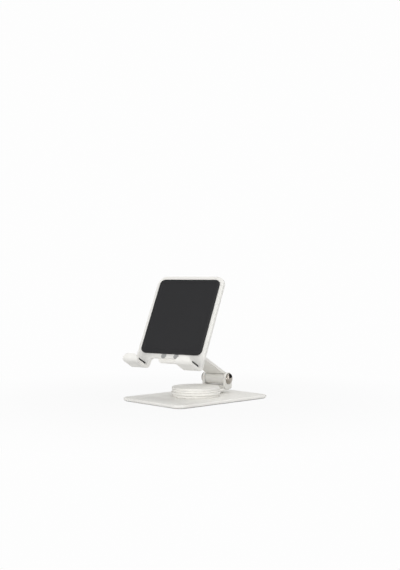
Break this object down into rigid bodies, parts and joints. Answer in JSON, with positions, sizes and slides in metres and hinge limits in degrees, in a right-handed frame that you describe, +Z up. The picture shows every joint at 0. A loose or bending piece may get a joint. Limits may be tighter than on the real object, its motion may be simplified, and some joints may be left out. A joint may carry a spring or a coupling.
{
  "type": "swivel tablet stand",
  "caption": "Low folding tablet stand: flat base plate, friction turntable, arm with hinges at its ends, and a padded cradle plate with front hooks.",
  "frame": {"origin": "middle of the foot's underside, on the table", "axes": "+Z up; +Y to the back along the base plate's long side; +X to the right as seen from the front"},
  "size_m": [0.0832, 0.1165, 0.1033],
  "materials": {
    "powder_coat": "fine matte powder coat on steel, warm white",
    "polished_steel": "polished nickel-plated steel",
    "plated_steel": "zinc-plated steel",
    "pad_silicone": "black matte silicone",
    "foot_silicone": "light grey matte silicone",
    "acetal": "natural acetal"
  },
  "bodies": {
    "base": {"base_plate": "powder_coat", "foot_pad": "foot_silicone", "swivel_seat": "powder_coat", "seat_screws": "plated_steel", "swivel_bolt": "plated_steel", "glide_ring": "acetal", "thrust_washer": "plated_steel", "disc_spring": "plated_steel", "swivel_nut": "plated_steel"},
    "turntable": {"hinge_yoke": "powder_coat", "turntable_spacer": "powder_coat", "turntable_cover": "powder_coat", "cover_screws": "plated_steel", "lower_hinge_pin": "polished_steel", "lower_hinge_cap": "polished_steel", "lower_hinge_washers": "acetal"},
    "folding_arm": {"arm": "powder_coat", "lower_hinge_bush": "acetal", "upper_hinge_bush": "acetal"},
    "cradle": {"cradle_plate": "powder_coat", "cradle_bracket": "powder_coat", "bracket_rivets": "plated_steel", "upper_hinge_pin": "polished_steel", "upper_hinge_cap": "polished_steel", "upper_hinge_washers": "acetal", "back_pad": "pad_silicone", "left_hook_pad": "pad_silicone", "right_hook_pad": "pad_silicone"}
  },
  "joints": [
    {"name": "swivel", "type": "hinge", "parent": "base", "child": "turntable", "pos_m": [0, 0, 0.00505], "axis": [0, 0, 1], "continuous": true},
    {"name": "arm_tilt", "type": "hinge", "parent": "turntable", "child": "folding_arm", "pos_m": [-0.00838, 0.03286, 0.01501], "axis": [-0.969, -0.247, 0], "range_deg": [-4.5, 90]},
    {"name": "cradle_tilt", "type": "hinge", "parent": "folding_arm", "child": "cradle", "pos_m": [0.00626, -0.02455, 0.04365], "axis": [-0.969, -0.247, 0], "range_deg": [-70, 89]}
  ]
}
